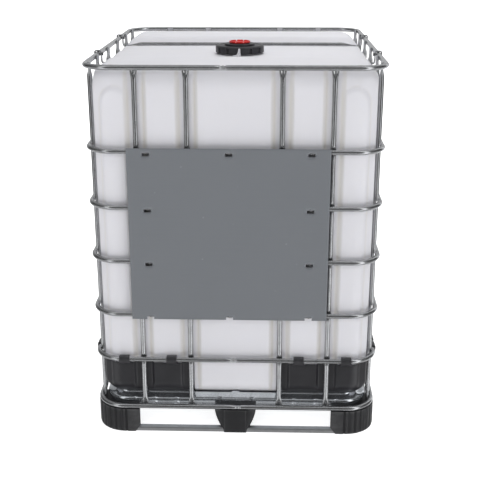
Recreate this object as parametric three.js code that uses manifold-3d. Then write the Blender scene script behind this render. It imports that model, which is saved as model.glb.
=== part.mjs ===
// Intermediate bulk container, 330 US gallon class: a blow-moulded bottle in a welded cage of round tube,
// standing on a pallet with a steel tray, plastic feet and a steel floor frame.
// Millimetres, +Z up. The origin is on the floor under the middle of the pallet. -Y is the side with the
// label plate, and +Y the side with the outlet valve.
import * as THREE from "three";
import { mergeVertices } from "three/addons/utils/BufferGeometryUtils.js";
import Module from "manifold-3d";

const wasm = await Module();
wasm.setup();

// ---- driving dimensions ----
const PALLET_X = 1016; // overall width of the pallet
const PALLET_Y = 1219; // overall length of the pallet
const GAP = 0.3; // clearance left between neighbouring pieces

const TUBE_R = 9; // cage tube, 18 mm outside
const HOOP = { halfX: 498.5, halfY: 600, corner: 98 }; // centre line of every horizontal tube
const HOOP_Z = [99.5, 287, 461, 658.5, 851, 1045, 1321]; // centre heights, bottom rail to top rail
const POST = { inset: 11.5, endInset: 11.8, cornerExtra: 2.2, flatLength: 20, shoulder: 30 };
const POST_FLAT = { halfWidth: 14, halfThick: 2.4 }; // a post's flattened ends
const END_POSTS_X = [-327, -158, 158, 327]; // posts on each short side
const SIDE_POSTS_Y = [-512, -341, -111, 111, 341, 512]; // posts on each long side

const FOOT_TOP = 90.2;
const CORNER_FOOT = { radius: 108, flutes: 4, fluteDepth: 5, innerX: 343, innerY: 444, notch: 42 };
// Half widths of the middle feet at depths behind the pallet's edge.
const END_FOOT = [[40, 0], [58, 69], [70, 155], [74, 200], [60, 210]];
const SIDE_FOOT = [[40, 0], [62, 50], [74, 110], [76, 150], [60, 158]];
const RUNNER = { outerX: 504.5, outerY: 606, width: 24, corner: 104, bottom: 0.5, top: 16.5 };
const TRAY = { halfX: 477, halfY: 578.5, corner: 92, sheet: 2, bottom: 90.5, deck: 111.5 };
const TRAY_RIM = { bead: 116.5, neck: 137, lip: 147 }; // heights where the rim swells, draws in and ends
const TRAY_CUT_OUT = { halfX: 66, floor: 116.5 }; // in the back rim, in front of the valve

const BOTTLE = { halfX: 484, halfY: 585.5, corner: [130, 172], bottom: 112, top: 1320, wall: 5 };
const CHANNEL = { depth: 10, halfMouth: 22, halfFloor: 15 }; // upright recess in the bottle behind a post
const SADDLE = { z: 1292, halfFloor: 262, halfMouth: 268 }; // the bottle's lowered middle, between the bars
const NICHE = { halfX: 105, y: 455, top: 330 }; // recess for the outlet valve

const BAR = { y: 255, z: 1294.5, halfTube: 440, strapWidth: 24, strapThick: 4, lip: 14 };
const BAR_SCREW = { r: 2.7, hole: 3, headR: 6, head: 4.2, reach: 3 };
const NECK = { r: 76, bore: 70, top: 1319 };
const LUG = { thick: 5, top: 1321, baseLeft: -12, baseRight: 7, tip: 4 }; // moulded beside the neck
const LID = { r: 92, inner: 85.5, skirtZ: 1297, shoulder: 1318, face: 1324.5, faceR: 84, plugHole: 29 };
const LID_BOSS = { r: 58, top: 1330.5 }; // the raised middle of the lid, under the vent plug
const LID_GRIPS = { count: 13, wide: 5, deep: 3, tall: 16 };
const PLUG = { r: 40, rim: 6, shank: 28.5, top: 1339, notches: 8, notchWide: 4, notchDepth: 4 };
const GASKET = 2; // thickness of every sealing ring, with GAP on both sides

const VALVE = { z: 178, stemY: 527.5, bore: 25, neckR: 34, neckEnd: 478, end: 582 };
const VALVE_BODY = { throat: 29.5, spout: 31, ball: 37, ballHalf: 15, shoulder: 22, flange: 4, tower: 14 };
const STEM = { r: 6, hole: 6.4, square: 4.6, socket: 5.2, bottom: -33, collar: 53, top: 63 };
const HANDLE = { hub: 15, bottom: 53.6, top: 68, length: 98, halfWidth: 9, tipHalf: 13, low: 59, high: 67 };
const NUT = { r: 43, inner: 35, lobes: 8 };
const CAP = { r: 36, inner: 32, y0: 566, y1: 592 };

const PLATE = { x0: -359, x1: 321, z0: 448, z1: 1058, thick: 1.5, y: -610 };
const TAB = { halfWidth: 10, thick: 1.5, holeDrop: 12 };
const TAB_X = [-294, -18, 256];
const GUARD = { clear: 0.5, thick: 2.5, endX: 147, endY: 300, bottom: 150, top: 268 };
const GUARD_HOOKS_X = [226, 395]; // hooks over the lowest hoop but one, on the short sides
const GUARD_HOOKS_Y = [400, 470]; // and on the long sides
const HOOK = { halfWidth: 18, thick: 3 };

// ---- materials ----
const { MeshStandardMaterial } = THREE;
const plain = (color, roughness, metalness) => new MeshStandardMaterial({ color, roughness, metalness });
const STEEL = plain(0x8b8f92, 0.35, 0.9);
const SHEET = plain(0x9aa0a6, 0.3, 0.9);
const PAINTED = plain(0x75787d, 0.55, 0.2);
const HDPE = plain(0xdcdbe1, 0.45, 0);
const BLACK = plain(0x2c2c30, 0.5, 0);
const RED = plain(0xc4141c, 0.4, 0);
const GREY_RUBBER = plain(0x3d3d3f, 0.8, 0);

const root = new THREE.Group();

// ---- solids ----
function solid(geometry) {
  const bare = geometry.index ? geometry.toNonIndexed() : geometry.clone();
  for (const name of Object.keys(bare.attributes)) if (name !== "position") bare.deleteAttribute(name);
  const merged = mergeVertices(bare, 1e-3);
  return new wasm.Manifold(
    new wasm.Mesh({
      numProp: 3,
      vertProperties: merged.attributes.position.array,
      triVerts: new Uint32Array(merged.index.array),
    }),
  );
}

function geometryOf(manifold) {
  const mesh = manifold.getMesh();
  const indexed = new THREE.BufferGeometry()
    .setAttribute("position", new THREE.BufferAttribute(mesh.vertProperties, 3))
    .setIndex(new THREE.BufferAttribute(mesh.triVerts, 1));
  const flat = indexed.toNonIndexed();
  flat.computeVertexNormals();
  return flat;
}

function add(name, shape, material) {
  const mesh = new THREE.Mesh(shape.isBufferGeometry ? shape : geometryOf(shape), material);
  mesh.name = name;
  root.add(mesh);
}

function box(x0, x1, y0, y1, z0, z1) {
  const shape = new THREE.BoxGeometry(x1 - x0, y1 - y0, z1 - z0);
  return solid(shape.translate((x0 + x1) / 2, (y0 + y1) / 2, (z0 + z1) / 2));
}

// A round bar from one point to another.
function rod(from, to, r, sides = 16) {
  const a = new THREE.Vector3(...from);
  const along = new THREE.Vector3(...to).sub(a);
  const shape = new THREE.CylinderGeometry(r, r, along.length(), sides);
  shape.translate(0, along.length() / 2, 0);
  shape.applyQuaternion(
    new THREE.Quaternion().setFromUnitVectors(new THREE.Vector3(0, 1, 0), along.clone().normalize()),
  );
  return solid(shape.translate(a.x, a.y, a.z));
}

// A body turned about +Z, from its [radius, z] profile, which closes on itself or starts and ends on the
// axis. A profile that runs upwards on its outer side faces out.
function turned(profile, sides = 32) {
  const shape = new THREE.LatheGeometry(
    profile.map(([r, z]) => new THREE.Vector2(r, z)),
    sides,
  );
  return solid(shape.rotateX(Math.PI / 2));
}

// The same about the valve's axis: the profile's second number is then Y.
function turnedOnValve(profile, sides = 20) {
  const shape = new THREE.LatheGeometry(
    profile.map(([r, y]) => new THREE.Vector2(r, y)),
    sides,
  );
  return solid(shape.translate(0, 0, VALVE.z));
}

// An upright prism on a plan outline of [x, y] points.
function prism(outline, z0, z1) {
  const plan = new THREE.Shape(outline.map(([x, y]) => new THREE.Vector2(x, y)));
  const shape = new THREE.ExtrudeGeometry(plan, { depth: z1 - z0, bevelEnabled: false });
  return solid(shape.translate(0, 0, z0));
}

// Joins loops of equal length into one surface: closed on itself, or with a flat cap on both ends.
function loft(loops, { ring = false } = {}) {
  const count = loops[0].length;
  const position = loops.flat(2);
  const index = [];
  const last = ring ? loops.length : loops.length - 1;
  for (let i = 0; i < last; i++)
    for (let j = 0; j < count; j++) {
      const next = (j + 1) % count;
      const above = (i + 1) % loops.length;
      const [a, b, c, d] = [i * count + j, i * count + next, above * count + next, above * count + j];
      index.push(a, b, c, a, c, d);
    }
  if (!ring) {
    const cap = (loop, start, flip) => {
      const plan = loop.map(([x, y]) => new THREE.Vector2(x, y));
      for (const [a, b, c] of THREE.ShapeUtils.triangulateShape(plan, []))
        index.push(start + a, start + (flip ? c : b), start + (flip ? b : c));
    };
    cap(loops[0], 0, true);
    cap(loops.at(-1), (loops.length - 1) * count, false);
  }
  const shape = new THREE.BufferGeometry()
    .setAttribute("position", new THREE.Float32BufferAttribute(position, 3))
    .setIndex(index);
  return solid(shape);
}

// A rounded rectangle at height z, anticlockwise seen from above. Its corners have one radius, or one along
// X and one along Y. Loops with the same number of steps and notches have the same number of points. A notch
// is {centre, side}, with side one of x+, y+, x-, y-.
function outline(halfX, halfY, corner, z, { steps = 4, notches = [], depth = 0 } = {}) {
  const points = [];
  const [cornerX, cornerY] = Array.isArray(corner) ? corner : [corner, corner];
  const corners = [
    { x: 1, y: -1, from: -90, side: "x+" },
    { x: 1, y: 1, from: 0, side: "y+" },
    { x: -1, y: 1, from: 90, side: "x-" },
    { x: -1, y: -1, from: 180, side: "y-" },
  ];
  for (const { x, y, from, side } of corners) {
    for (let i = 0; i <= steps; i++) {
      const angle = THREE.MathUtils.degToRad(from + (90 * i) / steps);
      const px = x * (halfX - cornerX) + cornerX * Math.cos(angle);
      const py = y * (halfY - cornerY) + cornerY * Math.sin(angle);
      points.push([px, py, z]);
    }
    const forward = side === "x+" || side === "y-" ? 1 : -1;
    const here = notches.filter((n) => n.side === side).map((n) => n.centre);
    here.sort((a, b) => (a - b) * forward);
    for (const centre of here)
      for (const [along, into] of [
        [-CHANNEL.halfMouth, 0],
        [-CHANNEL.halfFloor, depth],
        [CHANNEL.halfFloor, depth],
        [CHANNEL.halfMouth, 0],
      ]) {
        const s = centre + along * forward;
        if (side === "x+") points.push([halfX - into, s, z]);
        if (side === "x-") points.push([into - halfX, s, z]);
        if (side === "y+") points.push([s, halfY - into, z]);
        if (side === "y-") points.push([s, into - halfY, z]);
      }
  }
  return points;
}

// A tube bent round the container with its centre line at height z.
function hoop(z, r, sides = 8) {
  const loops = [];
  for (let i = 0; i < sides; i++) {
    const angle = (2 * Math.PI * (i + 0.5)) / sides;
    const reach = r / Math.cos(Math.PI / sides);
    const [out, up] = [reach * Math.cos(angle), reach * Math.sin(angle)];
    loops.push(outline(HOOP.halfX + out, HOOP.halfY + out, HOOP.corner + out, z + up));
  }
  return loft(loops, { ring: true });
}

// A strip of even thickness along a line of [x, z] points, from y0 to y1.
function strip(line, thick, y0, y1) {
  const at = line.map(([x, z]) => new THREE.Vector2(x, z));
  const left = [];
  const right = [];
  at.forEach((p, i) => {
    const before = at[Math.max(i - 1, 0)];
    const after = at[Math.min(i + 1, at.length - 1)];
    const along = after.clone().sub(before).normalize();
    const across = new THREE.Vector2(-along.y, along.x).multiplyScalar(thick / 2);
    left.push(p.clone().add(across));
    right.unshift(p.clone().sub(across));
  });
  const shape = new THREE.ExtrudeGeometry(new THREE.Shape([...left, ...right]), {
    depth: y1 - y0,
    bevelEnabled: false,
  });
  return solid(shape.rotateX(Math.PI / 2).translate(0, y1, 0));
}

// ---- pallet ----
const runnerLoop = (inset, z) =>
  outline(RUNNER.outerX - inset, RUNNER.outerY - inset, RUNNER.corner - inset, z, { steps: 5 });

function runner(grow = 0) {
  const [low, high] = [RUNNER.bottom - grow, RUNNER.top + grow];
  const [outer, inner] = [-grow, RUNNER.width + grow];
  const corners = [
    [inner, low],
    [outer, low],
    [outer, high],
    [inner, high],
  ];
  return loft(
    corners.map(([inset, z]) => runnerLoop(inset, z)),
    { ring: true },
  );
}

// The plan of the foot under the +X +Y corner: fluted round its outer corner.
function cornerFootPlan() {
  const [ex, ey] = [PALLET_X / 2, PALLET_Y / 2];
  const { radius, flutes, fluteDepth, innerX, innerY, notch } = CORNER_FOOT;
  const plan = [
    [ex - 64, innerY],
    [ex - 41, innerY + 6],
    [ex - 2, innerY + 23],
    [ex, innerY + 28],
  ];
  const steps = flutes * 3;
  for (let i = 0; i <= steps; i++) {
    const angle = ((Math.PI / 2) * i) / steps;
    const reach = radius - (i % 3 === 1 ? fluteDepth : 0);
    plan.push([ex - radius + reach * Math.cos(angle), ey - radius + reach * Math.sin(angle)]);
  }
  plan.push([innerX + 23, ey], [innerX, ey - notch], [innerX, innerY + 36], [innerX + 37, innerY + 4]);
  return plan;
}

// The plan of a middle foot on the +Y side, from its half widths at depths behind the edge at y.
function middleFootPlan(widths, y) {
  const right = widths.map(([half, depth]) => [half, y - depth]);
  const left = widths.map(([half, depth]) => [-half, y - depth]);
  return [...left, ...right.reverse()];
}

function feet() {
  const slot = runner(GAP);
  const mirrored = (plan, sx, sy) => {
    const points = plan.map(([x, y]) => [x * sx, y * sy]);
    return sx * sy < 0 ? points.reverse() : points;
  };
  const onEnd = middleFootPlan(END_FOOT, PALLET_Y / 2);
  const onSide = middleFootPlan(SIDE_FOOT, PALLET_X / 2).map(([along, out]) => [out, -along]);
  const places = {
    corner_foot_front_left: mirrored(cornerFootPlan(), -1, -1),
    corner_foot_front_right: mirrored(cornerFootPlan(), 1, -1),
    corner_foot_back_left: mirrored(cornerFootPlan(), -1, 1),
    corner_foot_back_right: mirrored(cornerFootPlan(), 1, 1),
    middle_foot_front: mirrored(onEnd, 1, -1),
    middle_foot_back: onEnd,
    middle_foot_left: mirrored(onSide, -1, 1),
    middle_foot_right: onSide,
  };
  for (const [name, plan] of Object.entries(places)) {
    const foot = prism(plan, 0, FOOT_TOP);
    add(name, foot.subtract(slot), BLACK);
  }
}

function tray() {
  const { halfX, halfY, corner, sheet, bottom, deck } = TRAY;
  const { bead, neck, lip } = TRAY_RIM;
  const at = (inset, z) => outline(halfX - inset, halfY - inset, Math.max(corner - inset, 20), z);
  const outside = [
    at(112, deck - sheet),
    at(100, bottom),
    at(12, bottom),
    at(6, bottom + 5),
    at(5, bottom + 12),
    at(0, bead),
    at(1, bead + 10),
    at(10, neck),
    at(12, lip),
  ];
  const inside = [
    at(12 + sheet, lip),
    at(10 + sheet, neck + 0.5),
    at(1.5 + sheet, bead + 11.5),
    at(sheet, bead + 2),
    at(5 + sheet, bottom + 13),
    at(6 + sheet, bottom + 6),
    at(13, bottom + sheet),
    at(101, bottom + sheet),
    at(113, deck),
  ];
  const { halfX: wide, floor } = TRAY_CUT_OUT;
  const cutOut = box(-wide, wide, halfY - 20, halfY + 20, floor, lip + 10);
  add("pallet_tray", loft([...outside, ...inside]).subtract(cutOut), SHEET);
}

// ---- cage ----
function hoops() {
  const names = ["bottom_rail", "hoop_1", "hoop_2", "hoop_3", "hoop_4", "hoop_5", "top_rail"];
  HOOP_Z.forEach((z, i) => {
    let tube = hoop(z, TUBE_R);
    if (names[i] === "top_rail")
      for (const side of [-1, 1])
        for (const y of [-BAR.y, BAR.y])
          tube = tube.subtract(
            rod([side * 480, y, z], [side * (HOOP.halfX + BAR_SCREW.reach + GAP), y, z], BAR_SCREW.hole, 10),
          );
    add(names[i], tube, STEEL);
  });
}

// A post whose hoops' centre line passes over the origin, with its outer side towards +X: a round tube with
// a seat pressed in for each hoop, and flattened ends on the inner side of the top and bottom rails.
function postAtOrigin(extra) {
  const sides = 8;
  const section = (z, inset, halfThick, halfWidth) => {
    const loop = [];
    for (let i = 0; i < sides; i++) {
      const angle = (2 * Math.PI * (i + 0.5)) / sides;
      const reach = 1 / Math.cos(Math.PI / sides);
      const [x, y] = [reach * Math.cos(angle), reach * Math.sin(angle)];
      loop.push([halfThick * x - inset - extra, halfWidth * y, z]);
    }
    return loop;
  };
  const flat = (z) => section(z, POST.endInset, POST_FLAT.halfThick, POST_FLAT.halfWidth);
  const round = (z) => section(z, POST.inset, TUBE_R, TUBE_R);
  const [low, high] = [HOOP_Z[0] - 7, HOOP_Z.at(-1) + 7];
  let post = loft([
    flat(low),
    flat(low + POST.flatLength),
    round(low + POST.flatLength + POST.shoulder),
    round(high - POST.flatLength - POST.shoulder),
    flat(high - POST.flatLength),
    flat(high),
  ]);
  const seat = TUBE_R + GAP;
  for (const z of HOOP_Z.slice(1, -1))
    post = post.subtract(box(-seat - extra, 20, -20, 20, z - seat, z + seat));
  return post;
}

function posts() {
  const stand = (name, x, y, turn, extra = 0) => {
    const post = geometryOf(postAtOrigin(extra));
    add(name, post.rotateZ(turn).translate(x, y, 0), STEEL);
  };
  END_POSTS_X.forEach((at, i) => {
    stand(`post_front_${i + 1}`, at, -HOOP.halfY, -Math.PI / 2);
    stand(`post_back_${i + 1}`, at, HOOP.halfY, Math.PI / 2);
  });
  SIDE_POSTS_Y.forEach((at, i) => {
    const past = Math.max(0, Math.abs(at) - (HOOP.halfY - HOOP.corner));
    const angle = Math.sign(at) * Math.asin(past / HOOP.corner);
    const x = HOOP.halfX - HOOP.corner * (1 - Math.cos(angle));
    const extra = past > 0 ? POST.cornerExtra : 0;
    stand(`post_left_${i + 1}`, -x, at, Math.PI - angle, extra);
    stand(`post_right_${i + 1}`, x, at, angle, extra);
  });
}

// A bar across the bottle's top: a tube whose flattened ends hook over the top rail.
function crossBars() {
  const railZ = HOOP_Z.at(-1);
  const clearance = TUBE_R + GAP + BAR.strapThick / 2;
  const over = railZ + clearance;
  const inner = HOOP.halfX - clearance - 0.2;
  const outer = HOOP.halfX + clearance;
  // The strap's middle line: down on to the bottle's shoulder, up the rail's inner side and over its top.
  const end = [
    [BAR.halfTube - 8, BAR.z],
    [BAR.halfTube + 18, BAR.z - 3],
    [inner - 12, BAR.z - 5],
    [inner - 3, BAR.z - 1],
    [inner, BAR.z + 8],
    [inner, over - 3],
    [inner + 3, over],
    [outer - 3, over],
    [outer, over - 3],
    [outer, over - BAR.lip],
  ];
  const face = inner - BAR.strapThick / 2 - GAP;
  for (const [where, y] of [
    ["front", -BAR.y],
    ["back", BAR.y],
  ]) {
    let bar = rod([-BAR.halfTube, y, BAR.z], [BAR.halfTube, y, BAR.z], TUBE_R, 12);
    for (const side of [-1, 1]) {
      const line = end.map(([x, z]) => [side * x, z]);
      if (side < 0) line.reverse();
      bar = bar.add(strip(line, BAR.strapThick, y - BAR.strapWidth / 2, y + BAR.strapWidth / 2));
      const across = (x0, x1, r, sides) => rod([side * x0, y, railZ], [side * x1, y, railZ], r, sides);
      bar = bar.subtract(across(inner - 5, inner + 5, BAR_SCREW.hole, 10));
      const head = across(face - BAR_SCREW.head, face, BAR_SCREW.headR, 6);
      const shank = across(face - 0.7, HOOP.halfX + BAR_SCREW.reach, BAR_SCREW.r, 10);
      add(`bar_screw_${where}_${side < 0 ? "left" : "right"}`, head.add(shank), STEEL);
    }
    add(`cross_bar_${where}`, bar, STEEL);
  }
}

// The label plate hangs on four hoops by tabs punched out of it.
function labelPlate() {
  const front = PLATE.y - PLATE.thick;
  let plate = box(PLATE.x0, PLATE.x1, front, PLATE.y, PLATE.z0, PLATE.z1);
  HOOP_Z.slice(2, 6).forEach((z, row) => {
    const columns = row === 0 || row === 3 ? TAB_X : [TAB_X[0], TAB_X[2]];
    const over = z + TUBE_R + GAP;
    for (const x of columns) {
      const [x0, x1] = [x - TAB.halfWidth, x + TAB.halfWidth];
      plate = plate.subtract(box(x0, x1, front - 1, PLATE.y + 1, over - TAB.holeDrop, over));
      const back = HOOP.halfY - TUBE_R - GAP;
      plate = plate.add(box(x0, x1, front + 0.2, -back + TAB.thick, over, over + TAB.thick));
      plate = plate.add(box(x0, x1, -back, -back + TAB.thick, over - 5, over + TAB.thick));
    }
  });
  add("label_plate", plate, PAINTED);
}

// ---- bottle ----
const BOTTLE_NOTCHES = [
  ...END_POSTS_X.flatMap((centre) => [
    { side: "y-", centre },
    { side: "y+", centre },
  ]),
  ...SIDE_POSTS_Y.slice(1, -1).flatMap((centre) => [
    { side: "x-", centre },
    { side: "x+", centre },
  ]),
];
// How far the bottle's wall is drawn in, at heights from its base to its top.
const BOTTLE_LEVELS = [
  [BOTTLE.bottom, 75],
  [135, 30],
  [190, 0],
  [1240, 0],
  [1272, 7],
  [1298, 23],
  [1312, 42],
  [BOTTLE.top, 66],
];

function bottleLoop(z, inset, grow = 0) {
  const size = grow - inset;
  const depth = Math.max(0, CHANNEL.depth - inset);
  const corner = BOTTLE.corner.map((r) => Math.max(r + size, 30));
  const options = { steps: 5, notches: BOTTLE_NOTCHES, depth };
  return outline(BOTTLE.halfX + size, BOTTLE.halfY + size, corner, z, options);
}

function bottle() {
  const { halfX, halfY, corner, wall } = BOTTLE;
  let shell = loft(BOTTLE_LEVELS.map(([z, inset]) => bottleLoop(z, inset)));
  const across = halfX + 50;
  const saddle = new THREE.Shape([
    new THREE.Vector2(-SADDLE.halfFloor, SADDLE.z),
    new THREE.Vector2(SADDLE.halfFloor, SADDLE.z),
    new THREE.Vector2(SADDLE.halfMouth, BOTTLE.top + 5),
    new THREE.Vector2(-SADDLE.halfMouth, BOTTLE.top + 5),
  ]);
  const saddleShape = new THREE.ExtrudeGeometry(saddle, { depth: 2 * across, bevelEnabled: false });
  saddleShape.rotateX(Math.PI / 2).rotateZ(Math.PI / 2).translate(-across, 0, 0);
  shell = shell.subtract(solid(saddleShape));
  for (const y of [-BAR.y, BAR.y]) {
    const half = BAR.strapWidth / 2 + 1;
    const floor = BAR.z - TUBE_R - GAP;
    shell = shell.subtract(box(-across, across, y - half, y + half, floor, BOTTLE.top + 5));
  }
  const nicheBox = (grow) => {
    const half = NICHE.halfX + grow;
    return box(-half, half, NICHE.y - grow, 700, 50, NICHE.top + grow);
  };
  shell = shell.subtract(nicheBox(0));
  const neckRoot = SADDLE.z - 11;
  shell = shell.add(turned([[0, neckRoot], [NECK.r, neckRoot], [NECK.r, NECK.top], [0, NECK.top]]));
  shell = shell.add(rod([0, NICHE.y - wall, VALVE.z], [0, VALVE.neckEnd, VALVE.z], VALVE.neckR, 24));
  const lug = new THREE.Shape([
    new THREE.Vector2(LUG.baseLeft, SADDLE.z - 4),
    new THREE.Vector2(LUG.baseRight, SADDLE.z - 4),
    new THREE.Vector2(LUG.tip, LUG.top),
    new THREE.Vector2(-LUG.tip, LUG.top),
  ]);
  const lugShape = new THREE.ExtrudeGeometry(lug, { depth: LUG.thick, bevelEnabled: false });
  shell = shell.add(solid(lugShape.rotateX(Math.PI / 2).translate(0, -LID.r - 2.5, 0)));

  const inset = CHANNEL.depth + wall;
  const inside = [
    [BOTTLE.bottom + wall, 82],
    [140, 37],
    [175, inset],
    [1235, inset],
    [1265, 34],
    [1279.5, 66],
  ].map(([z, by]) => outline(halfX - by, halfY - by, corner.map((r) => Math.max(r - by, 30)), z));
  let cavity = loft(inside).subtract(nicheBox(wall));
  cavity = cavity.add(rod([0, 0, 1270], [0, 0, NECK.top + 5], NECK.bore, 32));
  const outletEnds = [NICHE.y - wall - 10, VALVE.neckEnd + 5].map((y) => [0, y, VALVE.z]);
  cavity = cavity.add(rod(...outletEnds, VALVE.neckR - 7, 24));
  add("bottle", shell.subtract(cavity), HDPE);
}

// The black guards round the bottle's four lower corners.
function guards() {
  const straightFrom = 190;
  const grown = (levels, grow) => loft(levels.map(([z, inset]) => bottleLoop(z, inset, grow)));
  const outside = grown([[GUARD.bottom, 21.8], [straightFrom, 0], [GUARD.top, 0]], GUARD.clear + GUARD.thick);
  const inside = grown([[GUARD.bottom - 1, 22.4], [straightFrom, 0], [GUARD.top + 60, 0]], GUARD.clear);
  const band = outside.subtract(inside);
  const hookZ = HOOP_Z[1];
  const [low, high] = [hookZ - TUBE_R - GAP - HOOK.thick, hookZ + TUBE_R + GAP + HOOK.thick];
  const face = TUBE_R + GAP + HOOK.thick;
  const hookOn = (halfSize, from) => {
    const [reach, back] = [halfSize + face, halfSize - TUBE_R];
    return [
      [from, reach, low, low + HOOK.thick],
      [reach - HOOK.thick, reach, low, high],
      [back, reach, high - HOOK.thick, high],
    ];
  };
  const sort = (a, b) => [Math.min(a, b), Math.max(a, b)];
  for (const sx of [-1, 1])
    for (const sy of [-1, 1]) {
      const corner = box(...sort(sx * GUARD.endX, sx * 700), ...sort(sy * GUARD.endY, sy * 700), 0, 400);
      let guard = band.intersect(corner);
      for (const at of GUARD_HOOKS_X) {
        const wide = sort(sx * (at - HOOK.halfWidth), sx * (at + HOOK.halfWidth));
        const root = BOTTLE.halfY - 34;
        const foot = sort(sy * root, sy * (BOTTLE.halfY + 2.5));
        guard = guard.add(box(...wide, ...foot, GUARD.top - 2, low + HOOK.thick));
        for (const [y0, y1, z0, z1] of hookOn(HOOP.halfY, root))
          guard = guard.add(box(...wide, ...sort(sy * y0, sy * y1), z0, z1));
      }
      for (const at of GUARD_HOOKS_Y) {
        const wide = sort(sy * (at - HOOK.halfWidth), sy * (at + HOOK.halfWidth));
        const root = BOTTLE.halfX - 14;
        const foot = sort(sx * root, sx * (BOTTLE.halfX + 2.5));
        guard = guard.add(box(...foot, ...wide, GUARD.top - 2, low + HOOK.thick));
        for (const [x0, x1, z0, z1] of hookOn(HOOP.halfX, root))
          guard = guard.add(box(...sort(sx * x0, sx * x1), ...wide, z0, z1));
      }
      const name = `corner_guard_${sy < 0 ? "front" : "back"}_${sx < 0 ? "left" : "right"}`;
      add(name, guard.subtract(inside), BLACK);
    }
}

// ---- filling lid ----
const GASKET_SPACE = GASKET + 2 * GAP;

// A sealing ring's profile, from radius r0 to r1 and from one height to another.
const ringProfile = (r0, r1, low, high) => [
  [r0, low],
  [r1, low],
  [r1, high],
  [r0, high],
  [r0, low],
];

function lid() {
  const underside = NECK.top + GASKET_SPACE;
  let cap = turned([
    [0, underside],
    [LID.inner, underside],
    [LID.inner, LID.skirtZ],
    [LID.r, LID.skirtZ],
    [LID.r, LID.shoulder],
    [LID.faceR, LID.face],
    [LID_BOSS.r, LID.face],
    [LID_BOSS.r, LID_BOSS.top],
    [0, LID_BOSS.top],
  ]);
  cap = cap.subtract(rod([0, 0, underside - 5], [0, 0, LID_BOSS.top + 5], LID.plugHole, 20));
  const { count, wide, deep, tall } = LID_GRIPS;
  for (let i = 0; i < count; i++) {
    const groove = new THREE.BoxGeometry(2 * deep, wide, tall).translate(LID.r, 0, LID.skirtZ + tall / 2 + 2);
    cap = cap.subtract(solid(groove.rotateZ((2 * Math.PI * i) / count - Math.PI / 2)));
  }
  add("lid", cap, BLACK);
  const lidRing = ringProfile(NECK.bore + 0.5, NECK.r, NECK.top + GAP, underside - GAP);
  add("lid_gasket", turned(lidRing, 20), GREY_RUBBER);

  const flange = LID_BOSS.top + GASKET_SPACE;
  let plug = turned(
    [
      [0, underside + 0.5],
      [PLUG.shank, underside + 0.5],
      [PLUG.shank, flange],
      [PLUG.r, flange],
      [PLUG.r, PLUG.top],
      [PLUG.r - PLUG.rim, PLUG.top],
      [PLUG.r - PLUG.rim, PLUG.top - PLUG.notchDepth],
      [0, PLUG.top - PLUG.notchDepth],
    ],
    20,
  );
  for (let i = 0; i < PLUG.notches; i++) {
    const notch = new THREE.BoxGeometry(2 * PLUG.rim, PLUG.notchWide, 2 * PLUG.notchDepth);
    notch.translate(PLUG.r - PLUG.rim / 2, 0, PLUG.top);
    plug = plug.subtract(solid(notch.rotateZ((2 * Math.PI * (i + 0.5)) / PLUG.notches)));
  }
  add("vent_plug", plug, RED);
  const plugRing = ringProfile(LID.plugHole + 1, PLUG.r - 2, LID_BOSS.top + GAP, flange - GAP);
  add("vent_plug_gasket", turned(plugRing, 20), GREY_RUBBER);
}

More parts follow.
